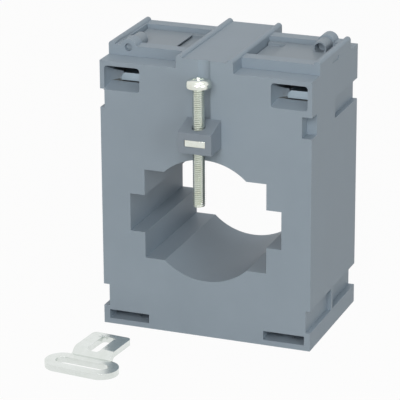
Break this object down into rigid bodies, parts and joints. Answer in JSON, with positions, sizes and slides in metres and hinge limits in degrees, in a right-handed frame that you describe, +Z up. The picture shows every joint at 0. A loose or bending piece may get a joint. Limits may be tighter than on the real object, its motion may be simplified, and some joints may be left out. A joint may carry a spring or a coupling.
{
  "type": "window current transformer",
  "caption": "Window-type current transformer: stepped busbar window, hinged terminal covers, clamp screw on an insulating holder and a loose steel mounting foot.",
  "frame": {"origin": "centre of the case's base, in the plane it stands on", "axes": "+X to the right seen from the front, -Y out of the front face, +Z up"},
  "size_m": [0.0761, 0.0913, 0.0964],
  "materials": {
    "case_plastic": "fine-grained moulded plastic, blue-grey",
    "cover_plastic": "moulded plastic, slightly warmer grey",
    "holder_plastic": "moulded insulating plastic, blue-grey",
    "pin_plastic": "moulded plastic pin",
    "core_steel": "wound silicon steel strip",
    "wrap_film": "wound insulating film",
    "enamelled_wire": "enamelled copper wire",
    "tinned_bar": "tinned metal",
    "plated_clamp": "bright plated steel",
    "plated_screw": "zinc plated, bluish",
    "plated_nut": "zinc plated",
    "plated_sheet": "zinc plated, faint yellow and green tint"
  },
  "bodies": {
    "case": {"front_shell": "case_plastic", "rear_shell": "case_plastic", "ring_core": "core_steel", "core_wrap": "wrap_film", "secondary_winding": "enamelled_wire", "lead_left": "enamelled_wire", "lead_right": "enamelled_wire", "terminal_bar_left": "tinned_bar", "terminal_bar_right": "tinned_bar", "hinge_pin_left": "pin_plastic", "hinge_pin_right": "pin_plastic", "clamp_holder": "holder_plastic", "clamp_nut": "plated_nut", "mounting_foot": "plated_sheet"},
    "cover_left": {"cover_left": "cover_plastic"},
    "cover_right": {"cover_right": "cover_plastic"},
    "terminal_left": {"wire_clamp_left": "plated_clamp", "terminal_screw_left": "plated_screw"},
    "terminal_right": {"wire_clamp_right": "plated_clamp", "terminal_screw_right": "plated_screw"},
    "clamp_screw": {"clamp_screw": "plated_screw"}
  },
  "joints": [
    {"name": "cover_left_hinge", "type": "hinge", "parent": "case", "child": "cover_left", "pos_m": [-0.0291, 0, 0.0936], "axis": [0, -1, 0], "range_deg": [0, 110]},
    {"name": "cover_right_hinge", "type": "hinge", "parent": "case", "child": "cover_right", "pos_m": [0.0291, 0, 0.0936], "axis": [0, 1, 0], "range_deg": [0, 110]},
    {"name": "terminal_left_lift", "type": "slide", "parent": "case", "child": "terminal_left", "axis": [0, 0, 1], "range_m": [0, 0.0012]},
    {"name": "terminal_right_lift", "type": "slide", "parent": "case", "child": "terminal_right", "axis": [0, 0, 1], "range_m": [0, 0.0012]},
    {"name": "clamp_screw_feed", "type": "slide", "parent": "case", "child": "clamp_screw", "axis": [0, 0, -1], "range_m": [-0.02, 0.0118]}
  ]
}
